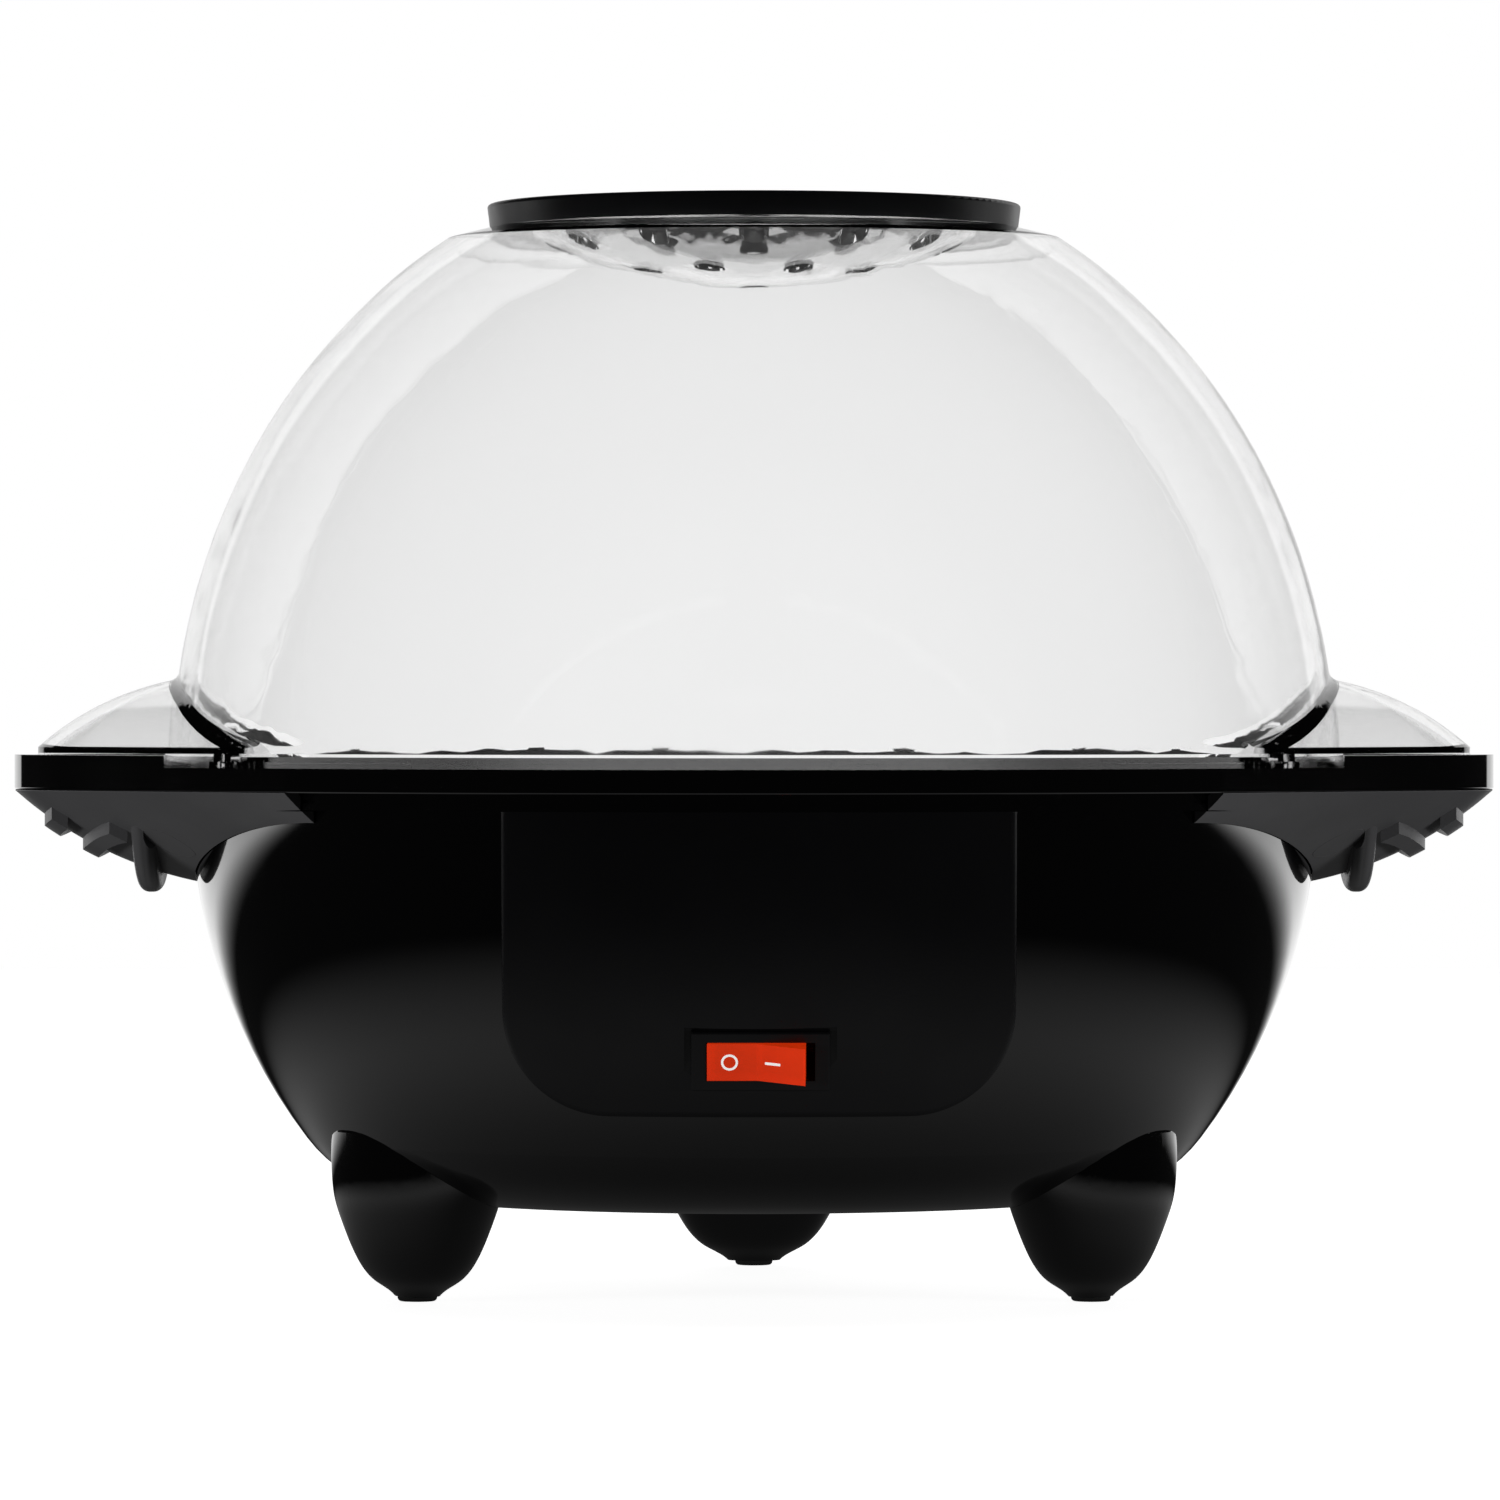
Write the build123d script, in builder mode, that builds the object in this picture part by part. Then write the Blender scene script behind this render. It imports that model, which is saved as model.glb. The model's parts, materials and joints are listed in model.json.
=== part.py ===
"""Stir-type popcorn maker: clear dome over a heated, stirred pan in a three-legged bowl.

Millimetres, +Z up, front (switch side) towards -Y, wings and handles along X.
The origin is on the floor, on the main axis that the pan, dome and stirrer share.
"""
from build123d import *
from math import asin, atan2, cos, degrees, pi, radians, sin, sqrt, tan
import os

os.makedirs("parts", exist_ok=True)

# ---------------------------------------------------------------- driving dimensions
overall_width = 350.0           # wing tip to wing tip
rim_radius = 142.0              # rim ring, front and back
wing_tip_radius = 43.5          # round end of each wing
bowl_floor_z = 22.0             # flat underside of the base housing
bowl_depth = 95.0               # from there up to the bowl's rim, which is level with its sphere's centre
dome_rise = 146.8               # upright semi-axis of the dome's ellipse
wall = 2.5                      # moulded plastic wall
fit_gap = 0.3                   # gap between mouldings that only lie side by side
seat_gap = 0.5                  # gap round a piece that lifts out
contact_gap = 0.1               # gap between metal pieces that only almost touch
running_gap = 0.05              # radial clearance of a turning fit
sheet = 1.5                     # pan and plate metal
seam_angle = 45.0               # where turned faces have their seam, clear of holes and wings

# ---------------------------------------------------------------- rim ring
ring_band = 5.5                 # height of the outer band
ring_edge = 0.6                 # small rounding on the ring's edges
ring_seat = 1.2                 # the bowl's rim goes up inside the ring's lip to this far under the band
lip_inset = 5.0                 # stepped lip under the band, inside the rim
lip_height = 3.9
lip_groove = 0.7
lip_groove_drop = 2.0           # middle of the groove below the band
wing_lip_height = 2.8           # raised lip round each wing
wing_lip_width = 5.2
wing_split_inset = 6.0          # where the raised lip starts, inside the rim
upstand_width = 2.6             # low wall that centres the dome
upstand_height = 2.6
pan_ledge_drop = 4.2            # the pan's rim rests this far below the dome's flange
pan_ledge_width = 10.0

# ---------------------------------------------------------------- dome
dome_inset = 4.5                # dome's foot inside the rim
dome_wall = 2.5
shoulder_radius = 72.6          # corner between dome and shoulder
shoulder_inset = 1.4            # inner corner, inside the outer one
shoulder_rise = 2.5
cap_seat_radius = 62.5
collar_radius = 60.0            # low collar that holds the cap
collar_wall = 2.5
collar_height = 2.7
dish_radius = 53.0              # concave vent dish
dish_curve = 122.0
dish_depth = 13.7               # its lowest point under the cap's seat
vent_hole_radius = 3.5
vent_rings = ((27.0, 8, 22.5), (46.0, 12, 0.0))   # ring radius, holes, first angle
flange_step_height = 1.5
flange_height = 3.3
flange_step = 2.5
clear_wing_inset = 5.5          # clear wing's wall inside the ring's outline
clear_wing_wall = 3.0
clear_wing_curve = 66.6         # radius of the clear wing's upper arc
clear_wing_offset = 6.5         # its centre, inboard of the wing tip's axis
clear_wing_rise = 21.6          # its top over the ring
wing_valley = 3.0               # fillet between dome and wing
junction_span = (30.0, 8.0)     # least width and height of the edge that this fillet rounds

# ---------------------------------------------------------------- vent cap
cap_height = 5.6
cap_flare = 0.7
cap_top_wall = 2.4
cap_recess = 1.2
cap_rim_width = 6.0
cap_edge = 0.8

# ---------------------------------------------------------------- handle grips
grip_curve = 93.1               # radius of the keel's arc
grip_curve_offset = 18.55       # its centre, inboard of the wing tip's axis
grip_depth = 23.7               # its lowest point below the band
grip_inset = 0.2
rib_offset = 31.5               # finger ribs are arcs about a point this far inboard of the wing tip's axis
rib_radii = (57.0, 66.0)
rib_half_lengths = (30.0, 20.0)
rib_width = 3.6
rib_stand = 2.3
guard_offset = 11.1             # finger guard, outboard of the wing tip's axis
guard_width = 5.6
guard_crest = 0.8               # flat left along its rounded edge
guard_half_length = 37.0
guard_depth = 5.4
plug_offset = 4.8               # screw wells, outboard of the wing tip's axis
plug_y = 33.4
plug_radius = 6.0
plug_gap = 0.1
grip_boss_wall = 1.9
grip_boss_floor = 2.6
screw_bite = 3.5                # depth of a grip screw's hole in the ring

# ---------------------------------------------------------------- base housing
bowl_inset = 8.8                # bowl's outer sphere inside the rim
floor_fillet = 36.0
cover_share = 0.77              # bottom cover's radius as a share of the sphere's slice at the floor
cover_thickness = 2.2
cover_land = 6.0                # width of the ledge it is screwed to
cover_screw_count = 4
cover_screw_first = 45.0
cover_slot_ring = 46.0
cover_slot = (16.0, 3.0)
cover_slots = 8
tie_inset = 7.7                 # screws that tie ring and bowl, inside the bowl's sphere
tie_count = 6
tie_first = 30.0
tie_post_radius = 4.0
tie_post_height = 13.0
tie_lug_thickness = 3.0
tie_screw_length = 14.0

# ---------------------------------------------------------------- front panel and switch
panel_centre_x = 1.1
panel_width = 115.2
panel_height = 23.8             # its lower edge over the bowl's floor
panel_corner = 24.0
panel_proud = 3.8
panel_edge = 2.4
switch_offset_x = 0.3           # from the panel's middle
switch_height = 37.0            # over the bowl's floor
switch_tilt = 18.0
switch_seat_depth = 1.4
seat_margin = (1.5, 1.0)        # recess outside the bezel
bezel_size = (31.0, 14.0)
bezel_proud = 1.6
bezel_edge = 0.5
bezel_land = (3.3, 2.45)        # bezel outside the rocker's opening
can_inset = (2.0, 1.2)          # switch body inside the bezel
switch_depth = 19.0
switch_wall = 1.2
rocker_end_gap = 1.1
rocker_side_gap = 0.2
rocker_crown = 4.6              # height of its middle over the pivot
rocker_half_throw = 9.0         # degrees each side of level
rocker_belly = 3.2
rocker_taper = 0.8
pivot_depth = 4.3               # pivot below the bezel's face
pivot_radius = 0.9
blade = (0.8, 4.8, 9.0)
blade_pitch = 8.5
lamp_radius = 1.8
lamp_length = 9.0

# ---------------------------------------------------------------- legs and feet
leg_share = 0.9655              # their ring's radius as a share of the sphere's slice at the floor
leg_radial = 18.6               # half width of a leg at its top, outwards
leg_tangent = 24.6              # half width of a leg at its top, across
leg_shape = ((0.0, 0.26), (0.09, 0.5), (0.26, 0.74), (0.43, 0.875), (1.0, 1.0))   # of height and width
leg_climb = 19.0                # their tops over the bowl's floor
leg_edge = 1.6
leg_post_radius = 4.5
foot_radius = 4.6
foot_height = 1.2
leg_angles = (-150, -30, 90)
leg_screw_rise = 7.5            # screw heads over the bowl's floor
leg_screw_length = 12.0

# ---------------------------------------------------------------- pan, heater, stirrer
pan_depth_share = 0.3842        # pan's depth as a share of the bowl's
pan_inset = 2.4                 # pan's bowl inside the ledge
seal_width = 5.0
heater_share = 0.5188           # heater's ring as a share of the pan's bowl
heater_tube = 4.0
heater_open_angle = 34.0
heater_leg = 11.0
pin_radius = 1.6
thermostat_ring = 36.0
thermostat_radius = 8.0
thermostat_height = 6.0
fuse_radius = 2.1
fuse_length = 14.0
shaft_radius = 3.5
shaft_stand = 14.0              # its top over the pan's bottom
shaft_flat_depth = 1.0
bush_wall = 2.5
bush_flange_width = 3.0
bush_flange = 1.6
bush_rise = 1.4
hub_wall = 5.5
hub_lift = 3.6                  # its underside over the pan's bottom
hub_height = 15.4
wire_radius = 1.6
wire_gap = 2.4
wire_share = 0.8033             # stirring wire's reach as a share of the pan's bowl
knob_radius = 12.5
knob_height = 10.0
stem_radius = 2.0
stem_depth = 3.5

# ---------------------------------------------------------------- drive unit
motor_room = 2.6                # between the gears and the can's wall
motor_wall = 1.0
motor_height = 22.0
motor_drop = 27.0               # its top below the pan's bottom
gear_module = 0.4
pinion_teeth = 15
wheel_teeth = 45
gear_backlash = 0.08
gear_face = 3.0
gear_gap = 0.5
arbor_radius = 0.75
rotor_radius = 8.0
rotor_height = 7.0
coil_inset = 3.0                # coil inside the can
motor_ear_radius = 5.0
motor_ear_thickness = 1.5
motor_screw_stand = 2.0
bracket_radius = 60.0
bracket_thickness = 1.2
stud_ring = 50.0
stud_radius = 3.5
stud_angles = (90, 210, 330)
nut_radius = 5.5
nut_height = 3.0
shield_share = 0.6306           # heat shield's radius as a share of the bowl's
shield_thickness = 0.8
shield_drop = 15.0              # below the pan's bottom
shield_rim = 5.0
screw_radius = 1.6
screw_head_radius = 3.0
screw_head = 2.2
screw_end_gap = 0.2             # left between a screw and the bottom of its hole

# ---------------------------------------------------------------- cord gland at the rear
gland_height = 42.0             # over the bowl's floor
gland_radius = 7.5
gland_flange_radius = 10.5
gland_flange = 2.5
gland_bore = 3.6
gland_length = 13.0
gland_nut_width = 3.5
gland_nut_height = 3.5

# ---------------------------------------------------------------- heights worked out
bowl_centre_z = bowl_floor_z + bowl_depth
ring_band_z = bowl_centre_z + ring_seat
ring_top_z = ring_band_z + ring_band
lip_bottom_z = ring_band_z - lip_height
pan_ledge_z = ring_top_z - pan_ledge_drop
pan_depth = pan_depth_share * bowl_depth
pan_bottom_z = pan_ledge_z - pan_depth
shaft_top_z = pan_bottom_z + shaft_stand
hub_bottom_z = pan_bottom_z + hub_lift
hub_top_z = hub_bottom_z + hub_height
shield_z = pan_bottom_z - shield_drop
motor_top_z = pan_bottom_z - motor_drop
motor_bottom_z = motor_top_z - motor_height
tie_post_bottom_z = bowl_centre_z - tie_post_height
tie_lug_z = tie_post_bottom_z - tie_lug_thickness
cover_z = bowl_floor_z + screw_head + screw_end_gap
cover_top_z = cover_z + cover_thickness
cover_ledge_z = cover_top_z + wall
switch_z = bowl_floor_z + switch_height
gland_z = bowl_floor_z + gland_height
leg_top_z = bowl_floor_z + leg_climb
leg_screw_z = bowl_floor_z + leg_screw_rise
grip_curve_z = ring_band_z - grip_depth + grip_curve

# ---------------------------------------------------------------- plan sizes worked out
wing_axis_x = overall_width / 2 - wing_tip_radius
wing_turn = (rim_radius - wing_tip_radius) / wing_axis_x
wing_slope = sqrt(1 - wing_turn**2)
tangent_length = wing_axis_x * wing_slope
wing_split_x = rim_radius - wing_split_inset
lip_radius = rim_radius - lip_inset
dome_foot_radius = rim_radius - dome_inset
dome_inner = dome_foot_radius - dome_wall
upstand_radius = dome_inner - seat_gap
upstand_inner = upstand_radius - upstand_width
ledge_inner = upstand_inner - pan_ledge_width
bowl_radius = rim_radius - bowl_inset
floor_slice = sqrt(bowl_radius**2 - bowl_depth**2)
cover_radius = cover_share * floor_slice
base_opening = cover_radius - cover_land
cover_screw_ring = cover_radius - cover_land / 2
leg_ring = leg_share * floor_slice
tie_ring = bowl_radius - tie_inset
pan_rim_radius = upstand_inner - seat_gap
pan_bowl_radius = ledge_inner - pan_inset
pan_curve = (pan_bowl_radius**2 + pan_depth**2) / (2 * pan_depth)
pan_centre_z = pan_bottom_z + pan_curve
heater_ring = heater_share * pan_bowl_radius
wire_reach = wire_share * pan_bowl_radius
bush_radius = shaft_radius + bush_wall
hub_radius = shaft_radius + hub_wall
shield_radius = shield_share * bowl_radius
gear_centres = gear_module * (pinion_teeth + wheel_teeth) / 2
motor_y = gear_centres
motor_radius = gear_centres + gear_module * (wheel_teeth / 2 + 1) + motor_room + motor_wall
motor_ear_ring = motor_radius + motor_ear_radius
seat_size = [side + 2 * margin for side, margin in zip(bezel_size, seat_margin)]
rocker_opening = [side - 2 * land for side, land in zip(bezel_size, bezel_land)]
switch_can = [side - 2 * inset for side, inset in zip(bezel_size, can_inset)]
rocker_half = rocker_opening[0] / 2 - rocker_end_gap
guard_x = wing_axis_x + guard_offset
plug_x = wing_axis_x + plug_offset
seam = radians(seam_angle)
# Half sections are drawn on this plane, so that a turned face's seam misses holes and wings.
section_plane = Plane((0, 0, 0), x_dir=(cos(seam), sin(seam), 0), z_dir=(sin(seam), -cos(seam), 0))


def sphere_radius_at(z, radius, centre_z):
    """Radius of a horizontal slice through a sphere on the main axis."""
    return sqrt(radius**2 - (z - centre_z) ** 2)


def dome_height(radius, inset=0.0):
    """Height of the dome's ellipse at a radius, for the outer face or inset from it."""
    return ring_top_z + (dome_rise - inset) * sqrt(1 - (radius / (dome_foot_radius - inset)) ** 2)


def dome_curve(end, inset):
    """Smooth line along the dome's ellipse, from its foot up to an end point."""
    across = dome_foot_radius - inset
    up = dome_rise - inset
    end_turn = asin((end[1] - ring_top_z) / up)
    steps = 6
    turns = [end_turn * step / steps for step in range(steps + 1)]
    return Spline(
        [(across * cos(turn), ring_top_z + up * sin(turn)) for turn in turns],
        tangents=[(0, 1), (-across * sin(end_turn), up * cos(end_turn))],
    )


def winged_outline(z, inset=0.0):
    """Plan outline of ring and wings: a big circle, two tip circles and their tangents."""
    with BuildSketch(Plane.XY.offset(z)) as outline:
        Circle(rim_radius - inset)
        with Locations((wing_axis_x, 0), (-wing_axis_x, 0)):
            Circle(wing_tip_radius - inset)
        make_hull()
    return outline.sketch


def wing_body(section):
    """Solid whose side follows the right wing's outline: round the tip and along both tangents.

    The section is drawn with x as the distance from the tip circle's axis and y as height.
    """
    with BuildPart() as body:
        with BuildSketch(Plane((wing_axis_x, 0, 0), x_dir=(1, 0, 0), z_dir=(0, -1, 0))):
            add(section)
        revolve(axis=Axis((wing_axis_x, 0, 0), (0, 0, 1)))
        for side in (1, -1):
            across = (wing_turn, side * wing_slope, 0)
            along = (side * wing_slope, -wing_turn, 0)
            with BuildSketch(Plane((wing_axis_x, 0, 0), x_dir=across, z_dir=along)):
                add(section)
            extrude(amount=-side * tangent_length)
    return body.part


def save(part, name):
    """Named piece written to its own STEP file."""
    part.label = name
    export_step(part, f"parts/{name}.step")


def save_pair(part, name):
    """Right-hand piece and its mirrored left-hand twin."""
    save(part, f"{name}_right")
    save(mirror(part, about=Plane.YZ), f"{name}_left")


# ---------------------------------------------------------------- dome cover
def arc_section(centre, radius, low_z, high_z, reach=None):
    """Half section between the tip axis, a level line and an arc that bulges away from it."""
    with BuildSketch() as section:
        with Locations(centre):
            Circle(radius)
        with Locations((0, low_z)):
            Rectangle(4 * wing_tip_radius, high_z - low_z, align=(Align.MIN, Align.MIN), mode=Mode.INTERSECT)
        if reach:
            with Locations((0, low_z)):
                Rectangle(reach, high_z - low_z, align=(Align.MIN, Align.MIN), mode=Mode.INTERSECT)
    return section.sketch


def clear_wing_section(inset):
    """Section of the dome's clear wing, or of its hollow at an inset."""
    reach = wing_tip_radius - clear_wing_inset - inset
    centre = (-clear_wing_offset, ring_top_z + clear_wing_rise - clear_wing_curve)
    return arc_section(centre, clear_wing_curve - inset, ring_top_z, ring_top_z + wing_tip_radius, reach)


cap_seat_z = dome_height(shoulder_radius) + shoulder_rise
dish_low_z = cap_seat_z - dish_depth
dish_centre = (0, dish_low_z + dish_curve)
dish_edge_z = dish_centre[1] - sqrt(dish_curve**2 - dish_radius**2)
well = collar_radius - collar_wall
well_curve = dish_curve - dome_wall
well_z = dish_centre[1] - sqrt(well_curve**2 - dish_radius**2)
flange_step_z = ring_top_z + flange_step_height
flange_top_z = ring_top_z + flange_height

with BuildPart(mode=Mode.PRIVATE) as dome_body:
    with BuildSketch(section_plane):
        with BuildLine():
            corner = (shoulder_radius, dome_height(shoulder_radius))
            dome_curve(corner, 0)
            Polyline(corner, (cap_seat_radius, cap_seat_z), (0, cap_seat_z), (0, ring_top_z))
            Line((0, ring_top_z), (dome_foot_radius, ring_top_z))
        make_face()
    revolve()

wing_outer = wing_body(clear_wing_section(0))
wing_inner = wing_body(clear_wing_section(clear_wing_wall))

with BuildPart() as dome_cover:
    add(dome_body.part)
    add(wing_outer)
    add(mirror(wing_outer, about=Plane.YZ))
    junction = dome_cover.edges().filter_by(
        lambda e: e.geom_type not in (GeomType.LINE, GeomType.CIRCLE)
        and e.bounding_box().size.Y > junction_span[0]
        and e.bounding_box().size.Z > junction_span[1]
    )
    fillet(junction, wing_valley)
    with BuildSketch(Plane.XY.offset(ring_top_z)):
        add(winged_outline(0))
        Rectangle(2 * (wing_split_x - fit_gap), 4 * rim_radius, mode=Mode.INTERSECT)
    extrude(amount=flange_step_z - ring_top_z)
    with BuildSketch(Plane.XY.offset(flange_step_z)):
        add(winged_outline(0, flange_step))
        Rectangle(2 * (wing_split_x - fit_gap), 4 * rim_radius, mode=Mode.INTERSECT)
    extrude(amount=flange_top_z - flange_step_z)
    with BuildPart(mode=Mode.PRIVATE) as wing_hollows:
        add(wing_inner)
        add(mirror(wing_inner, about=Plane.YZ))
        add(dome_body.part, mode=Mode.SUBTRACT)
    add(wing_hollows.part, mode=Mode.SUBTRACT)
    with BuildSketch(section_plane):
        with BuildLine():
            inner_shoulder = shoulder_radius - shoulder_inset
            shoulder = (inner_shoulder, dome_height(inner_shoulder, dome_wall))
            dome_curve(shoulder, dome_wall)
            Polyline(shoulder, (cap_seat_radius, cap_seat_z - dome_wall), (dish_radius, dish_edge_z))
            CenterArc(dish_centre, dish_curve, -90, degrees(asin(dish_radius / dish_curve)))
            Polyline((0, dish_low_z), (0, ring_top_z), (dome_inner, ring_top_z))
        make_face()
    revolve(mode=Mode.SUBTRACT)
    with BuildSketch(Plane.XY.offset(cap_seat_z)):
        Circle(collar_radius)
    extrude(amount=collar_height)
    with BuildSketch(section_plane):
        with BuildLine():
            CenterArc(dish_centre, well_curve, -90, degrees(asin(dish_radius / well_curve)))
            Polyline(
                (dish_radius, well_z),
                (well, well_z),
                (well, cap_seat_z + collar_height),
                (0, cap_seat_z + collar_height),
                (0, dish_low_z + dome_wall),
            )
        make_face()
    revolve(mode=Mode.SUBTRACT)
    with Locations((0, 0, cap_seat_z)):
        Hole(vent_hole_radius, depth=cap_seat_z - dish_low_z + dome_wall)
        for ring_radius, holes, first in vent_rings:
            with PolarLocations(ring_radius, holes, start_angle=first):
                Hole(vent_hole_radius, depth=cap_seat_z - dish_low_z + dome_wall)
save(dome_cover.part, "dome_cover")

# ---------------------------------------------------------------- vent cap
with BuildPart() as vent_cap:
    with BuildSketch(section_plane):
        with BuildLine():
            bore = collar_radius + fit_gap
            top_z = cap_seat_z + cap_height
            Polyline(
                (0, top_z - cap_top_wall),
                (bore, top_z - cap_top_wall),
                (bore, cap_seat_z),
                (cap_seat_radius, cap_seat_z),
                (cap_seat_radius + cap_flare, top_z),
                (cap_seat_radius - cap_rim_width, top_z),
                (cap_seat_radius - cap_rim_width - cap_recess, top_z - cap_recess),
                (0, top_z - cap_recess),
                close=True,
            )
        make_face()
    revolve()
    fillet(vent_cap.edges().group_by(Axis.Z)[-1].sort_by(SortBy.LENGTH)[-1], cap_edge)
save(vent_cap.part, "vent_cap")

# ---------------------------------------------------------------- rim ring
with BuildPart() as rim_ring:
    add(extrude(winged_outline(ring_band_z), ring_top_z - ring_band_z))
    fillet(rim_ring.faces().sort_by(Axis.Z)[0].outer_wire().edges(), ring_edge)
    with BuildSketch(Plane.XY.offset(ring_top_z)):
        add(winged_outline(0))
        add(winged_outline(0, wing_lip_width), mode=Mode.SUBTRACT)
        Rectangle(2 * wing_split_x, 4 * rim_radius, mode=Mode.SUBTRACT)
    extrude(amount=wing_lip_height)
    with BuildSketch(Plane.XY.offset(lip_bottom_z)):
        Circle(lip_radius)
        Circle(bowl_radius + fit_gap, mode=Mode.SUBTRACT)
    extrude(amount=ring_band_z - lip_bottom_z)
    with BuildSketch(Plane.XY.offset(ring_top_z)):
        Circle(upstand_radius)
    extrude(amount=upstand_height)
    with BuildSketch(Plane.XY.offset(pan_ledge_z)):
        Circle(upstand_inner)
    extrude(amount=pan_ledge_drop + upstand_height, mode=Mode.SUBTRACT)
    with BuildSketch(Plane.XY.offset(bowl_centre_z)):
        Circle(bowl_radius + fit_gap)
        Circle(ledge_inner, mode=Mode.SUBTRACT)
    extrude(amount=pan_ledge_z - bowl_centre_z)
    with BuildSketch(Plane.XY.offset(bowl_centre_z)):
        Circle(ledge_inner)
    extrude(amount=ring_top_z - bowl_centre_z, mode=Mode.SUBTRACT)
    with BuildSketch(Plane.XY.offset(ring_band_z - lip_groove_drop - lip_groove / 2)):
        Circle(lip_radius + lip_groove)
        Circle(lip_radius - lip_groove, mode=Mode.SUBTRACT)
    extrude(amount=lip_groove, mode=Mode.SUBTRACT)
    with BuildSketch(Plane.XY.offset(tie_post_bottom_z)):
        with PolarLocations(tie_ring, tie_count, start_angle=tie_first):
            Circle(tie_post_radius)
            Circle(screw_radius, mode=Mode.SUBTRACT)
    extrude(amount=tie_post_height)
    with BuildSketch(Plane.XY.offset(ring_band_z)):
        with GridLocations(2 * plug_x, 2 * plug_y, 2, 2):
            Circle(screw_radius)
    extrude(amount=screw_bite, mode=Mode.SUBTRACT)
save(rim_ring.part, "rim_ring")


# ---------------------------------------------------------------- base housing
def bowl_section(inset):
    """Half section of the bowl's outer face, or of its inner face at an inset."""
    radius = bowl_radius - inset
    floor_z = bowl_floor_z + inset
    floor_radius = sphere_radius_at(floor_z, radius, bowl_centre_z)
    with BuildSketch(section_plane) as half:
        with BuildLine():
            CenterArc(
                (0, bowl_centre_z),
                radius,
                0,
                -degrees(asin((bowl_centre_z - floor_z) / radius)),
            )
            Polyline((floor_radius, floor_z), (0, floor_z), (0, bowl_centre_z), (radius, bowl_centre_z))
        make_face()
        corner = half.vertices().group_by(Axis.Y)[0].sort_by(Axis.X)[-1]
        fillet(corner, floor_fillet - inset)
    return half.sketch


with BuildPart() as bowl_blank:
    add(bowl_section(0))
    revolve()

with BuildPart() as bowl_hollow:
    add(bowl_section(wall))
    revolve()

panel_radius = bowl_radius + panel_proud
seat_y = -(sphere_radius_at(switch_z, panel_radius, bowl_centre_z) - switch_seat_depth)
tilt = radians(switch_tilt)
switch_x = panel_centre_x + switch_offset_x
# Switch plane: x to the right, y up the seat, z out of the panel.
seat_plane = Plane((switch_x, seat_y, switch_z), x_dir=(1, 0, 0), z_dir=(0, -cos(tilt), -sin(tilt)))

gland_turn = asin((bowl_centre_z - gland_z) / bowl_radius)
gland_plane = Plane(
    (0, bowl_radius * cos(gland_turn), gland_z),
    x_dir=(1, 0, 0),
    z_dir=(0, cos(gland_turn), -sin(gland_turn)),
)

with BuildPart() as switch_cutout:
    with BuildSketch(seat_plane):
        Rectangle(switch_can[0] + 2 * fit_gap, switch_can[1] + 2 * fit_gap)
    extrude(amount=-(switch_depth + panel_proud))

with BuildPart() as base_housing:
    add(bowl_blank.part)
    add(bowl_hollow.part, mode=Mode.SUBTRACT)
    with BuildSketch(Plane.XY.offset(tie_lug_z)):
        with PolarLocations(tie_ring, tie_count, start_angle=tie_first):
            Rectangle(4 * tie_post_radius, 3 * tie_post_radius)
    extrude(amount=tie_lug_thickness)
    add(bowl_blank.part, mode=Mode.INTERSECT)
    with BuildSketch(Plane.XY.offset(tie_lug_z)):
        with PolarLocations(tie_ring, tie_count, start_angle=tie_first):
            Circle(screw_radius)
    extrude(amount=tie_lug_thickness, mode=Mode.SUBTRACT)
    with BuildSketch(Plane.XY.offset(bowl_floor_z)):
        Circle(base_opening)
    extrude(amount=wall, mode=Mode.SUBTRACT)
    with BuildSketch(Plane.XY.offset(bowl_floor_z + wall)):
        Circle(cover_radius + cover_land / 2)
        Circle(base_opening, mode=Mode.SUBTRACT)
    extrude(amount=cover_ledge_z - bowl_floor_z - wall)
    with BuildSketch(Plane.XY.offset(bowl_floor_z)):
        Circle(cover_radius + fit_gap)
    extrude(amount=cover_top_z - bowl_floor_z, mode=Mode.SUBTRACT)
    with BuildSketch(Plane.XY.offset(cover_top_z)):
        with PolarLocations(cover_screw_ring, cover_screw_count, start_angle=cover_screw_first):
            Circle(screw_radius)
    extrude(amount=wall, mode=Mode.SUBTRACT)
    with BuildSketch(Plane.XY.offset(bowl_floor_z)):
        with PolarLocations(leg_ring, len(leg_angles), start_angle=leg_angles[0]):
            Circle(screw_radius)
    extrude(amount=4 * wall, mode=Mode.SUBTRACT)
    add(switch_cutout.part, mode=Mode.SUBTRACT)
    with BuildSketch(gland_plane.offset(wall)):
        Circle(gland_radius)
    extrude(amount=-4 * wall, mode=Mode.SUBTRACT)
save(base_housing.part, "base_housing")

# ---------------------------------------------------------------- bottom cover and its screws
with BuildPart() as bottom_cover:
    with BuildSketch(Plane.XY.offset(cover_z)):
        Circle(cover_radius)
        with PolarLocations(cover_screw_ring, cover_screw_count, start_angle=cover_screw_first):
            Circle(screw_radius, mode=Mode.SUBTRACT)
        with PolarLocations(cover_slot_ring, cover_slots):
            SlotOverall(*cover_slot, rotation=90, mode=Mode.SUBTRACT)
    extrude(amount=cover_thickness)
save(bottom_cover.part, "bottom_cover")


def screws(name, places, head_z, length, up=True):
    """Group of pan-head screws: places in plan, head against head_z, shank up or down."""
    way = 1 if up else -1
    with BuildPart() as group:
        with BuildSketch(Plane.XY.offset(head_z)):
            with Locations(*places):
                Circle(screw_head_radius)
                RegularPolygon(screw_head_radius / 3, 6, mode=Mode.SUBTRACT)
        extrude(amount=-way * screw_head)
        with BuildSketch(Plane.XY.offset(head_z)):
            with Locations(*places):
                Circle(screw_radius)
        extrude(amount=way * length)
    save(group.part, name)


def ring_places(radius, count, start):
    """Points on a circle in plan."""
    return [Vector(radius, 0, 0).rotate(Axis.Z, start + k * 360 / count) for k in range(count)]


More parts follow.
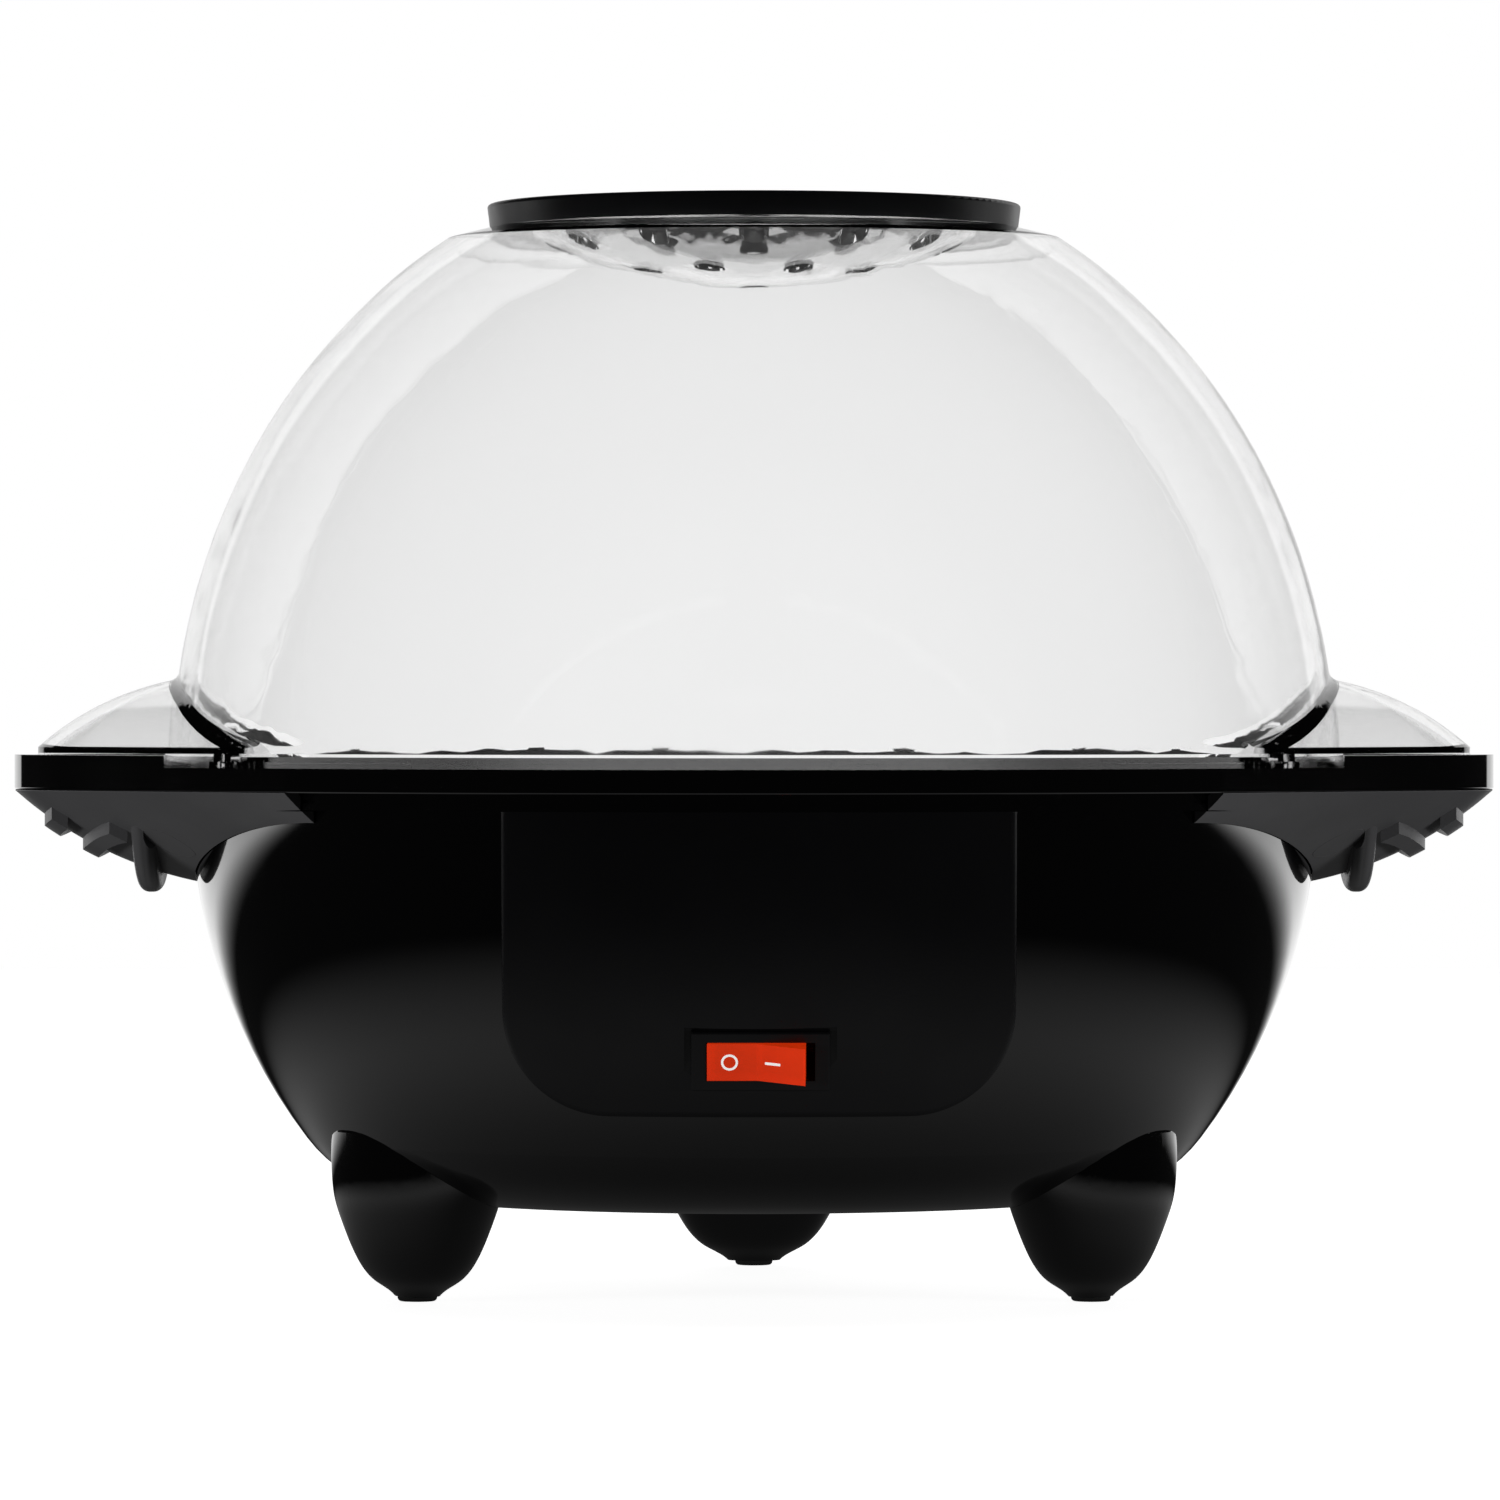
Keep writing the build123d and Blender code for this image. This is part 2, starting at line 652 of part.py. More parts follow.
cover_screw_places = ring_places(cover_screw_ring, cover_screw_count, cover_screw_first)
screws("cover_screws", cover_screw_places, cover_z, cover_ledge_z - cover_z - screw_end_gap)
screws("ring_screws", ring_places(tie_ring, tie_count, tie_first), tie_lug_z, tie_screw_length)

# ---------------------------------------------------------------- front panel
with BuildPart() as front_panel:
    with Locations((0, 0, bowl_centre_z)):
        Sphere(panel_radius)
        Sphere(bowl_radius, mode=Mode.SUBTRACT)
    with BuildSketch(Plane.XZ) as panel_outline:
        with Locations((panel_centre_x, lip_bottom_z)):
            panel_span = lip_bottom_z - bowl_floor_z - panel_height
            Rectangle(panel_width, panel_span, align=(Align.CENTER, Align.MAX))
        fillet(panel_outline.vertices().group_by(Axis.Y)[0], panel_corner)
    extrude(amount=2 * rim_radius, mode=Mode.INTERSECT)
    panel_face = front_panel.faces().filter_by(GeomType.SPHERE).sort_by(lambda f: f.radius)[-1]
    fillet(panel_face.outer_wire().edges().sort_by(Axis.Z)[:-1], panel_edge)
    with BuildSketch(seat_plane):
        Rectangle(*seat_size)
    extrude(amount=2 * switch_depth, mode=Mode.SUBTRACT)
    add(switch_cutout.part, mode=Mode.SUBTRACT)
save(front_panel.part, "front_panel")

# ---------------------------------------------------------------- switch
pivot_z = bezel_proud - pivot_depth
with BuildPart() as switch_frame:
    with BuildSketch(seat_plane):
        RectangleRounded(*bezel_size, bezel_edge)
    extrude(amount=bezel_proud)
    fillet(switch_frame.faces().sort_by(Axis.Y)[0].outer_wire().edges(), bezel_edge)
    with BuildSketch(seat_plane):
        Rectangle(*switch_can)
    extrude(amount=-switch_depth)
    with BuildSketch(seat_plane.offset(bezel_proud)):
        Rectangle(*rocker_opening)
    extrude(amount=-(switch_depth + bezel_proud - switch_wall), mode=Mode.SUBTRACT)
    pin_plane = Plane(seat_plane.from_local_coords((0, 0, pivot_z)), x_dir=(1, 0, 0), z_dir=seat_plane.y_dir)
    with BuildSketch(pin_plane.offset(-switch_can[1] / 2)):
        Circle(pivot_radius)
    extrude(amount=switch_can[1], mode=Mode.SUBTRACT)
save(switch_frame.part, "switch_frame")

with BuildPart() as rocker_pin:
    with BuildSketch(pin_plane.offset(-switch_can[1] / 2)):
        Circle(pivot_radius)
    extrude(amount=switch_can[1])
save(rocker_pin.part, "rocker_pin")

throw = radians(rocker_half_throw)
rocker_plane = Plane(
    pin_plane.origin,
    x_dir=Vector(1, 0, 0) * cos(throw) + seat_plane.z_dir * sin(throw),
    z_dir=seat_plane.y_dir * -1,
)
with BuildPart() as rocker:
    with BuildSketch(rocker_plane):
        with BuildLine():
            end_height = rocker_crown + rocker_half * tan(throw)
            Polyline(
                (-rocker_half, end_height),
                (0, rocker_crown),
                (rocker_half, end_height),
                (rocker_half - rocker_taper, 0),
                (rocker_half / 2, -rocker_belly),
                (-rocker_half / 2, -rocker_belly),
                (-rocker_half + rocker_taper, 0),
                close=True,
            )
        make_face()
        Circle(pivot_radius + running_gap, mode=Mode.SUBTRACT)
    extrude(amount=rocker_opening[1] / 2 - rocker_side_gap, both=True)
save(rocker.part, "rocker")

with BuildPart() as switch_blades:
    with BuildSketch(seat_plane.offset(-switch_depth)):
        with GridLocations(blade_pitch, 1, 3, 1):
            Rectangle(blade[0], blade[1])
    extrude(amount=-blade[2])
save(switch_blades.part, "switch_blades")

with BuildPart() as lamp:
    lamp_z = switch_wall - switch_depth + lamp_radius
    lamp_plane = Plane(seat_plane.from_local_coords((0, 0, lamp_z)), z_dir=(1, 0, 0))
    with BuildSketch(lamp_plane):
        Circle(lamp_radius)
    extrude(amount=lamp_length / 2, both=True)
save(lamp.part, "indicator_lamp")

# ---------------------------------------------------------------- handle grips
grip_centre = (-grip_curve_offset, grip_curve_z)


def grip_section(growth):
    """Section of the grip's hull, grown outwards or inwards from its visible face."""
    reach = wing_tip_radius - grip_inset + min(growth, 0)
    return arc_section(grip_centre, grip_curve + growth, 0, ring_band_z, reach)


plug_places = [(plug_x, plug_y), (plug_x, -plug_y)]
with BuildPart() as body_clearance:
    with Locations((0, 0, bowl_centre_z)):
        Sphere(bowl_radius + fit_gap)
    with BuildSketch(Plane.XY.offset(lip_bottom_z - fit_gap)):
        Circle(lip_radius + fit_gap)
    extrude(amount=2 * bowl_radius)

with BuildPart() as grip:
    add(wing_body(grip_section(0)))
    add(wing_body(grip_section(-wall)), mode=Mode.SUBTRACT)
    with BuildPart(mode=Mode.PRIVATE) as ribs:
        for radius, half_length in zip(rib_radii, rib_half_lengths):
            with BuildSketch():
                with Locations((wing_axis_x - rib_offset, 0)):
                    Circle(radius + rib_width / 2)
                    Circle(radius - rib_width / 2, mode=Mode.SUBTRACT)
                with Locations((wing_axis_x - rib_offset + radius, 0)):
                    Rectangle(2 * radius, 2 * half_length, mode=Mode.INTERSECT)
            extrude(amount=ring_band_z)
        add(wing_body(grip_section(rib_stand)), mode=Mode.INTERSECT)
    add(ribs.part)
    with BuildPart(mode=Mode.PRIVATE) as guard:
        with BuildSketch(Plane.YZ.offset(guard_x - guard_width / 2)):
            with BuildLine():
                keel_z = grip_curve_z - sqrt(grip_curve**2 - (guard_offset + grip_curve_offset) ** 2)
                end_z = keel_z + guard_half_length / 3
                ThreePointArc(
                    (-guard_half_length, end_z), (0, keel_z - guard_depth), (guard_half_length, end_z)
                )
                Line((guard_half_length, end_z), (-guard_half_length, end_z))
            make_face()
        extrude(amount=guard_width)
        fillet(guard.edges().filter_by(GeomType.CIRCLE), (guard_width - guard_crest) / 2)
    add(guard.part)
    with BuildPart(mode=Mode.PRIVATE) as bosses:
        with BuildSketch(Plane.XY):
            with Locations(*plug_places):
                Circle(plug_radius + plug_gap + grip_boss_wall)
        extrude(amount=ring_band_z)
        add(wing_body(grip_section(0)), mode=Mode.INTERSECT)
    add(bosses.part)
    add(wing_body(grip_section(-wall)).cut(bosses.part), mode=Mode.SUBTRACT)
    with BuildSketch(Plane.XY):
        with Locations(*plug_places):
            Circle(plug_radius + plug_gap)
    extrude(amount=ring_band_z - grip_boss_floor, mode=Mode.SUBTRACT)
    with BuildSketch(Plane.XY.offset(ring_band_z)):
        with Locations(*plug_places):
            Circle(screw_radius)
    extrude(amount=-2 * grip_boss_floor, mode=Mode.SUBTRACT)
    add(body_clearance.part, mode=Mode.SUBTRACT)
save_pair(grip.part, "handle_grip")

with BuildPart() as plugs:
    with BuildSketch(Plane.XY):
        with Locations(*plug_places):
            Circle(plug_radius)
    extrude(amount=ring_band_z - grip_boss_floor - 2 * screw_head)
    add(wing_body(grip_section(0)), mode=Mode.INTERSECT)
    add(wing_body(grip_section(-2 * wall)), mode=Mode.SUBTRACT)
save_pair(plugs.part, "screw_plugs")

grip_places = [(x, y) for x in (plug_x, -plug_x) for y in (plug_y, -plug_y)]
grip_screw_length = grip_boss_floor + screw_bite - screw_end_gap
screws("grip_screws", grip_places, ring_band_z - grip_boss_floor, grip_screw_length)

# ---------------------------------------------------------------- legs and feet
def leg_section(inset):
    """Half section of a leg's outer face, or of its hollow at an inset."""
    low_z = foot_height + inset
    rise = leg_top_z - foot_height - 2 * inset
    points = [(leg_tangent * wide - inset, low_z + rise * high) for high, wide in leg_shape]
    with BuildSketch(Plane.XZ) as half:
        with BuildLine():
            Spline(points, tangents=[(1, 1), (0, 1)])
            Polyline(points[-1], (0, low_z + rise), (0, low_z), points[0])
        make_face()
    return half.sketch


with BuildPart() as leg_blank:
    add(leg_section(0))
    revolve()
    fillet(leg_blank.edges().group_by(Axis.Z)[-1], leg_edge)
    add(leg_section(wall))
    revolve(mode=Mode.SUBTRACT)
    with BuildSketch(Plane.XY.offset(foot_height)):
        Circle(leg_post_radius)
    extrude(amount=leg_top_z - 2 * wall - foot_height)
    scale(by=(leg_radial / leg_tangent, 1, 1))
for name, angle in zip(("front_left", "front_right", "rear"), leg_angles):
    place = Vector(leg_ring, 0, 0).rotate(Axis.Z, angle)
    with BuildPart() as leg:
        add(leg_blank.part.moved(Location(place, (0, 0, angle))))
        with BuildSketch(Plane.XY.offset(leg_screw_z)):
            with Locations(place):
                Circle(screw_radius)
        extrude(amount=-(leg_screw_length + screw_end_gap), mode=Mode.SUBTRACT)
        add(bowl_blank.part, mode=Mode.SUBTRACT)
    save(leg.part, f"leg_{name}")
    with BuildPart() as foot:
        with BuildSketch():
            with Locations(place):
                Circle(foot_radius)
        extrude(amount=foot_height)
        fillet(foot.edges().group_by(Axis.Z)[0], 0.75 * foot_height)
    save(foot.part, f"foot_pad_{name}")
leg_screw_places = ring_places(leg_ring, len(leg_angles), leg_angles[0])
screws("leg_screws", leg_screw_places, leg_screw_z, leg_screw_length, up=False)

# ---------------------------------------------------------------- pan and its seal
with BuildPart() as heating_pan:
    with BuildSketch(Plane.XZ):
        with BuildLine():
            pan_centre = (0, pan_centre_z)
            rim_z = pan_ledge_z + sheet
            pan_inner = pan_curve - sheet
            inner_reach = sphere_radius_at(rim_z, pan_inner, pan_centre_z)
            CenterArc(pan_centre, pan_curve, -90, degrees(asin(pan_bowl_radius / pan_curve)))
            Polyline(
                (pan_bowl_radius, pan_ledge_z),
                (pan_rim_radius, pan_ledge_z),
                (pan_rim_radius, rim_z),
                (inner_reach, rim_z),
            )
            CenterArc(pan_centre, pan_inner, -90, degrees(asin(inner_reach / pan_inner)))
            Line((0, pan_bottom_z + sheet), (0, pan_bottom_z))
        make_face()
    revolve()
    with BuildSketch(Plane.XY.offset(pan_bottom_z - sheet)):
        Circle(bush_radius)
    extrude(amount=4 * sheet, mode=Mode.SUBTRACT)
save(heating_pan.part, "heating_pan")

with BuildPart() as pan_blank:
    with Locations((0, 0, pan_centre_z)):
        Sphere(pan_curve + contact_gap)

with BuildPart() as pan_seal:
    with BuildSketch(Plane.XY.offset(pan_ledge_z + sheet)):
        Circle(pan_rim_radius)
        Circle(pan_rim_radius - seal_width, mode=Mode.SUBTRACT)
    extrude(amount=sheet)
    fillet(pan_seal.edges().group_by(Axis.Z)[-1], sheet / 3)
save(pan_seal.part, "pan_seal")

with BuildPart() as shaft_bush:
    with BuildSketch(Plane.XY.offset(pan_bottom_z - bush_flange)):
        Circle(bush_radius + bush_flange_width)
    extrude(amount=bush_flange)
    with BuildSketch(Plane.XY.offset(pan_bottom_z)):
        Circle(bush_radius)
    extrude(amount=sheet + bush_rise)
    with BuildSketch(Plane.XY.offset(pan_bottom_z - bush_flange)):
        Circle(shaft_radius + running_gap)
    extrude(amount=pan_depth, mode=Mode.SUBTRACT)
save(shaft_bush.part, "shaft_bush")

# ---------------------------------------------------------------- heater and its guards
heater_z = pan_centre_z - sqrt((pan_curve + heater_tube + contact_gap) ** 2 - heater_ring**2)
heater_ends = [
    Vector(heater_ring, 0, heater_z).rotate(Axis.Z, side * heater_open_angle / 2) for side in (1, -1)
]
with BuildPart() as heating_element:
    with BuildLine() as coil_line:
        CenterArc((0, 0, heater_z), heater_ring, heater_open_angle / 2, 360 - heater_open_angle)
    with BuildSketch(coil_line.line ^ 0):
        Circle(heater_tube)
    sweep()
    with Locations(*heater_ends):
        Sphere(heater_tube)
        Cylinder(heater_tube, heater_leg, align=(Align.CENTER, Align.CENTER, Align.MAX))
save(heating_element.part, "heating_element")

with BuildPart() as heater_pins:
    with BuildSketch(Plane.XY.offset(heater_z - heater_leg)):
        with Locations(*[(end.X, end.Y) for end in heater_ends]):
            Circle(pin_radius)
    extrude(amount=-heater_leg / 2)
save(heater_pins.part, "heater_pins")


def pan_height(radius):
    """Height of the pan's underside at a radius."""
    return pan_centre_z - sqrt(pan_curve**2 - radius**2)


with BuildPart() as thermostat:
    thermostat_z = pan_height(thermostat_ring - thermostat_radius) - contact_gap
    with BuildSketch(Plane.XY.offset(thermostat_z)):
        with Locations((0, -thermostat_ring)):
            Circle(thermostat_radius)
    extrude(amount=-thermostat_height)
    with BuildSketch(Plane.XY.offset(thermostat_z - thermostat_height)):
        with Locations((0, -thermostat_ring)):
            with GridLocations(thermostat_radius, 1, 2, 1):
                Rectangle(blade[0], blade[1])
    extrude(amount=-blade[2] / 2)
save(thermostat.part, "thermostat")

with BuildPart() as thermal_fuse:
    fuse_z = pan_height(thermostat_ring - fuse_radius) - contact_gap - fuse_radius
    with BuildSketch(Plane((-thermostat_ring, 0, fuse_z), z_dir=(0, 1, 0))):
        Circle(fuse_radius)
    extrude(amount=fuse_length / 2, both=True)
save(thermal_fuse.part, "thermal_fuse")

stud_places = [Vector(stud_ring, 0, 0).rotate(Axis.Z, angle) for angle in stud_angles]
bracket_top_z = motor_top_z + bracket_thickness
with BuildPart() as pan_studs:
    with BuildSketch(Plane.XY.offset(bracket_top_z)):
        with Locations(*stud_places):
            Circle(stud_radius)
    extrude(amount=pan_depth)
    with BuildSketch(Plane.XY.offset(motor_top_z - nut_height - sheet)):
        with Locations(*stud_places):
            Circle(stud_radius / 2)
    extrude(amount=nut_height + sheet + bracket_thickness)
    add(pan_blank.part, mode=Mode.SUBTRACT)
save(pan_studs.part, "pan_studs")

with BuildPart() as stud_nuts:
    with BuildSketch(Plane.XY.offset(motor_top_z)):
        with Locations(*stud_places):
            RegularPolygon(nut_radius, 6)
            Circle(stud_radius / 2, mode=Mode.SUBTRACT)
    extrude(amount=-nut_height)
save(stud_nuts.part, "stud_nuts")

with BuildPart() as heat_shield:
    with BuildSketch(Plane.XY.offset(shield_z)):
        Circle(shield_radius)
    extrude(amount=shield_rim)
    with BuildSketch(Plane.XY.offset(shield_z + shield_thickness)):
        Circle(shield_radius - shield_thickness)
    extrude(amount=shield_rim, mode=Mode.SUBTRACT)
    with BuildSketch(Plane.XY.offset(shield_z)):
        Circle(2 * shaft_radius)
        with Locations(*stud_places):
            Circle(stud_radius)
    extrude(amount=shield_thickness, mode=Mode.SUBTRACT)
save(heat_shield.part, "heat_shield")

# ---------------------------------------------------------------- drive unit
motor_centre = (0, motor_y)
ear_places = [(x, motor_y) for x in (motor_ear_ring, -motor_ear_ring)]
lid_z = motor_top_z - motor_ear_thickness
with BuildPart() as motor_bracket:
    with BuildSketch(Plane.XY.offset(motor_top_z)):
        Circle(bracket_radius)
        Circle(2 * shaft_radius, mode=Mode.SUBTRACT)
        with Locations(*stud_places):
            Circle(stud_radius / 2, mode=Mode.SUBTRACT)
        with Locations(*ear_places):
            Circle(screw_radius, mode=Mode.SUBTRACT)
    extrude(amount=bracket_thickness)
save(motor_bracket.part, "motor_bracket")

with BuildPart() as motor_can:
    with BuildSketch(Plane.XY.offset(motor_bottom_z)):
        with Locations(motor_centre):
            Circle(motor_radius)
    extrude(amount=lid_z - motor_bottom_z)
    with BuildSketch(Plane.XY.offset(motor_bottom_z + motor_wall)):
        with Locations(motor_centre):
            Circle(motor_radius - motor_wall)
    extrude(amount=motor_height, mode=Mode.SUBTRACT)
save(motor_can.part, "motor_can")

arbor_places = [motor_centre, (gear_centres * cos(pi / 6), gear_centres / 2)]
with BuildPart() as motor_lid:
    with BuildSketch(Plane.XY.offset(lid_z)):
        with Locations(motor_centre, *ear_places):
            Circle(motor_radius)
        with Locations(motor_centre):
            Rectangle(2 * (motor_ear_ring + motor_ear_radius), 2 * motor_radius, mode=Mode.INTERSECT)
            Circle(motor_ear_ring + motor_ear_radius, mode=Mode.INTERSECT)
        Circle(shaft_radius + running_gap, mode=Mode.SUBTRACT)
        with Locations(*ear_places):
            Circle(screw_radius, mode=Mode.SUBTRACT)
        with Locations(*arbor_places):
            Circle(arbor_radius, mode=Mode.SUBTRACT)
    extrude(amount=motor_ear_thickness)
save(motor_lid.part, "motor_lid")
motor_screw_length = motor_ear_thickness + bracket_thickness + motor_screw_stand
screws("motor_screws", ear_places, lid_z, motor_screw_length)

coil_bottom_z = motor_bottom_z + motor_wall
rotor_bottom_z = coil_bottom_z + gear_gap
rotor_top_z = rotor_bottom_z + rotor_height
wheel_z = rotor_top_z + 2 * gear_gap
output_z = wheel_z + gear_face + gear_gap
with BuildPart() as stator_coil:
    with BuildSketch(Plane.XY.offset(coil_bottom_z)):
        with Locations(motor_centre):
            Circle(motor_radius - coil_inset)
            Circle(rotor_radius + gear_gap, mode=Mode.SUBTRACT)
    extrude(amount=rotor_height)
save(stator_coil.part, "stator_coil")

with BuildPart() as gear_arbors:
    for centre, low_z in zip(arbor_places, (coil_bottom_z, rotor_top_z + gear_gap)):
        with BuildSketch(Plane.XY.offset(low_z)):
            with Locations(centre):
                Circle(arbor_radius)
        extrude(amount=motor_top_z - low_z)
save(gear_arbors.part, "gear_arbors")


def involute(angle):
    """Involute function of a pressure angle in radians."""
    return tan(angle) - angle


def gear_outline(teeth, centre, tooth_angle):
    """Involute spur gear in plan, with one tooth pointing along tooth_angle in radians."""
    pressure = radians(20)
    pitch = gear_module * teeth / 2
    base = pitch * cos(pressure)
    tip = pitch + gear_module
    root = pitch - 1.25 * gear_module
    half_tooth = pi / (2 * teeth) - gear_backlash / (2 * pitch)
    start = max(base, root)
    steps = 4
    flank = []
    for step in range(steps + 1):
        radius = start + (tip - start) * step / steps
        roll = atan2(sqrt(radius**2 - base**2), base)
        flank.append((radius, half_tooth + involute(pressure) - involute(roll)))
    if root < base:
        flank.insert(0, (root, flank[0][1]))
    points = []
    for tooth in range(teeth):
        middle = tooth_angle + 2 * pi * tooth / teeth
        for radius, turn in flank:
            points.append((radius * cos(middle - turn), radius * sin(middle - turn)))
        for radius, turn in reversed(flank):
            points.append((radius * cos(middle + turn), radius * sin(middle + turn)))
    with BuildSketch() as outline:
        with BuildLine():
            Polyline([(x + centre[0], y + centre[1]) for x, y in points], close=True)
        make_face()
    return outline.sketch


def direction(start, end):
    """Angle in plan from one centre to another, in radians."""
    return atan2(end[1] - start[1], end[0] - start[0])


output_centre = (0, 0)
middle_centre = arbor_places[1]
to_middle = direction(motor_centre, middle_centre)
to_output = direction(middle_centre, output_centre)

with BuildPart() as rotor:
    with BuildSketch(Plane.XY.offset(rotor_bottom_z)):
        with Locations(motor_centre):
            Circle(rotor_radius)
            Circle(arbor_radius + running_gap, mode=Mode.SUBTRACT)
    extrude(amount=rotor_height)
    with BuildSketch(Plane.XY.offset(rotor_top_z)):
        add(gear_outline(pinion_teeth, motor_centre, to_middle))
        with Locations(motor_centre):
            Circle(arbor_radius + running_gap, mode=Mode.SUBTRACT)
    extrude(amount=2 * gear_gap + gear_face)
save(rotor.part, "motor_rotor")

with BuildPart() as middle_gear:
    with BuildSketch(Plane.XY.offset(wheel_z)):
        add(gear_outline(wheel_teeth, middle_centre, to_middle + pi + pi / wheel_teeth))
        with Locations(middle_centre):
            Circle(arbor_radius + running_gap, mode=Mode.SUBTRACT)
    extrude(amount=gear_face)
    with BuildSketch(Plane.XY.offset(wheel_z + gear_face)):
        add(gear_outline(pinion_teeth, middle_centre, to_output))
        with Locations(middle_centre):
            Circle(arbor_radius + running_gap, mode=Mode.SUBTRACT)
    extrude(amount=gear_gap + gear_face)
save(middle_gear.part, "middle_gear")

with BuildPart() as output_gear:
    with BuildSketch(Plane.XY.offset(output_z)):
        add(gear_outline(wheel_teeth, output_centre, to_output + pi + pi / wheel_teeth))
        Circle(shaft_radius, mode=Mode.SUBTRACT)
    extrude(amount=gear_face)
save(output_gear.part, "output_gear")

shaft_flat = shaft_radius - shaft_flat_depth
flat_bottom_z = pan_bottom_z + sheet + bush_rise
with BuildPart() as output_shaft:
    with BuildSketch(Plane.XY.offset(output_z)):
        Circle(shaft_radius)
    extrude(amount=shaft_top_z - output_z)
    with BuildSketch(Plane.XY.offset(flat_bottom_z)):
        with Locations((shaft_flat, 0)):
            Rectangle(shaft_radius, 2 * shaft_radius, align=(Align.MIN, Align.CENTER))
    extrude(amount=shaft_top_z - flat_bottom_z, mode=Mode.SUBTRACT)
save(output_shaft.part, "output_shaft")

# ---------------------------------------------------------------- stirrer
hub_gap = 2 * running_gap
with BuildPart() as stirring_wire:
    wire_curve = pan_curve - sheet - wire_gap - wire_radius
    hub_reach = (shaft_radius + hub_radius) / 2
    first = degrees(asin(hub_reach / wire_curve))
    last = degrees(asin(wire_reach / wire_curve))
    for side in (1, -1):
        with BuildLine(Plane((0, 0, pan_centre_z), x_dir=(side, 0, 0), z_dir=(0, -side, 0))) as arm:
            CenterArc((0, 0), wire_curve, -90 + first, last - first)
        with BuildSketch(Plane(arm.line @ 0, z_dir=arm.line % 0)):
            Circle(wire_radius)
        sweep(path=arm.line)
        with Locations(arm.line @ 1):
            Sphere(wire_radius)
save(stirring_wire.part, "stirring_wire")

with BuildPart() as stirrer_hub:
    with BuildSketch(Plane.XY.offset(hub_bottom_z)):
        Circle(hub_radius)
    extrude(amount=hub_top_z - hub_bottom_z)
    with BuildSketch(Plane.XY.offset(hub_bottom_z)):
        Circle(shaft_radius + hub_gap)
        with Locations((shaft_flat + hub_gap, 0)):
            Rectangle(shaft_radius, 2 * hub_radius, align=(Align.MIN, Align.CENTER), mode=Mode.SUBTRACT)
    extrude(amount=shaft_top_z + seat_gap - hub_bottom_z, mode=Mode.SUBTRACT)
    with BuildSketch(Plane.XY.offset(hub_top_z)):
        Circle(stem_radius)
    extrude(amount=-stem_depth, mode=Mode.SUBTRACT)
    add(stirring_wire.part, mode=Mode.SUBTRACT)
save(stirrer_hub.part, "stirrer_hub")

with BuildPart() as stirrer_knob:
    with BuildSketch(Plane.XY.offset(hub_top_z)):
        Circle(knob_radius)
    extrude(amount=knob_height)
    fillet(stirrer_knob.edges().group_by(Axis.Z)[-1], knob_height / 2)
    with BuildSketch(Plane.XY.offset(hub_top_z - stem_depth)):
        Circle(stem_radius)
    extrude(amount=stem_depth)
save(stirrer_knob.part, "stirrer_knob")

# ---------------------------------------------------------------- cord gland
with BuildPart() as cord_gland:
    with BuildSketch(gland_plane.offset(-wall)):
        Circle(gland_flange_radius)
    extrude(amount=gland_flange + wall)
    fillet(cord_gland.faces().sort_by(Axis((0, 0, 0), gland_plane.z_dir))[-1].edges(), gland_flange / 3)
    with Locations((0, 0, bowl_centre_z)):
        Sphere(bowl_radius, mode=Mode.SUBTRACT)
    with BuildSketch(gland_plane):
        Circle(gland_radius)
    extrude(amount=-gland_length)
    with BuildSketch(gland_plane.offset(gland_flange)):
        Circle(gland_bore)
    extrude(amount=-gland_length - gland_flange, mode=Mode.SUBTRACT)
save(cord_gland.part, "cord_gland")

with BuildPart() as gland_nut:
    with BuildSketch(gland_plane.offset(-wall - seat_gap)):
        RegularPolygon(gland_radius + gland_nut_width, 6)
        Circle(gland_radius, mode=Mode.SUBTRACT)
    extrude(amount=-gland_nut_height)
save(gland_nut.part, "gland_nut")
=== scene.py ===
import bmesh
import bpy
import json
import math
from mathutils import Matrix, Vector


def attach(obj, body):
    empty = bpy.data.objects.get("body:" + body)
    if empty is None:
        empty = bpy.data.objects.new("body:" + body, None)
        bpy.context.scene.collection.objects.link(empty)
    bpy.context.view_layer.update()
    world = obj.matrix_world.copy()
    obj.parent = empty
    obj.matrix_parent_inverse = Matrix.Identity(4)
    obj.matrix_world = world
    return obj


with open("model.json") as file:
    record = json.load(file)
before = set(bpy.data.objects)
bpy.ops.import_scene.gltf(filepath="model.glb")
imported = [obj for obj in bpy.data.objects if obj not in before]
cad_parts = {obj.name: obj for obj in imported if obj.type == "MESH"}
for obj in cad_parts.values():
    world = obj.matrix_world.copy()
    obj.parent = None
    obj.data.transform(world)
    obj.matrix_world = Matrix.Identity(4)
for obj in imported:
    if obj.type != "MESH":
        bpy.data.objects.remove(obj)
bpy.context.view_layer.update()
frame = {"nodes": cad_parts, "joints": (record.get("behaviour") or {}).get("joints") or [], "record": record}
nodes = frame["nodes"]
joints = {joint["name"]: joint for joint in frame["joints"]}

WHITE = (1.0, 1.0, 1.0, 1.0)


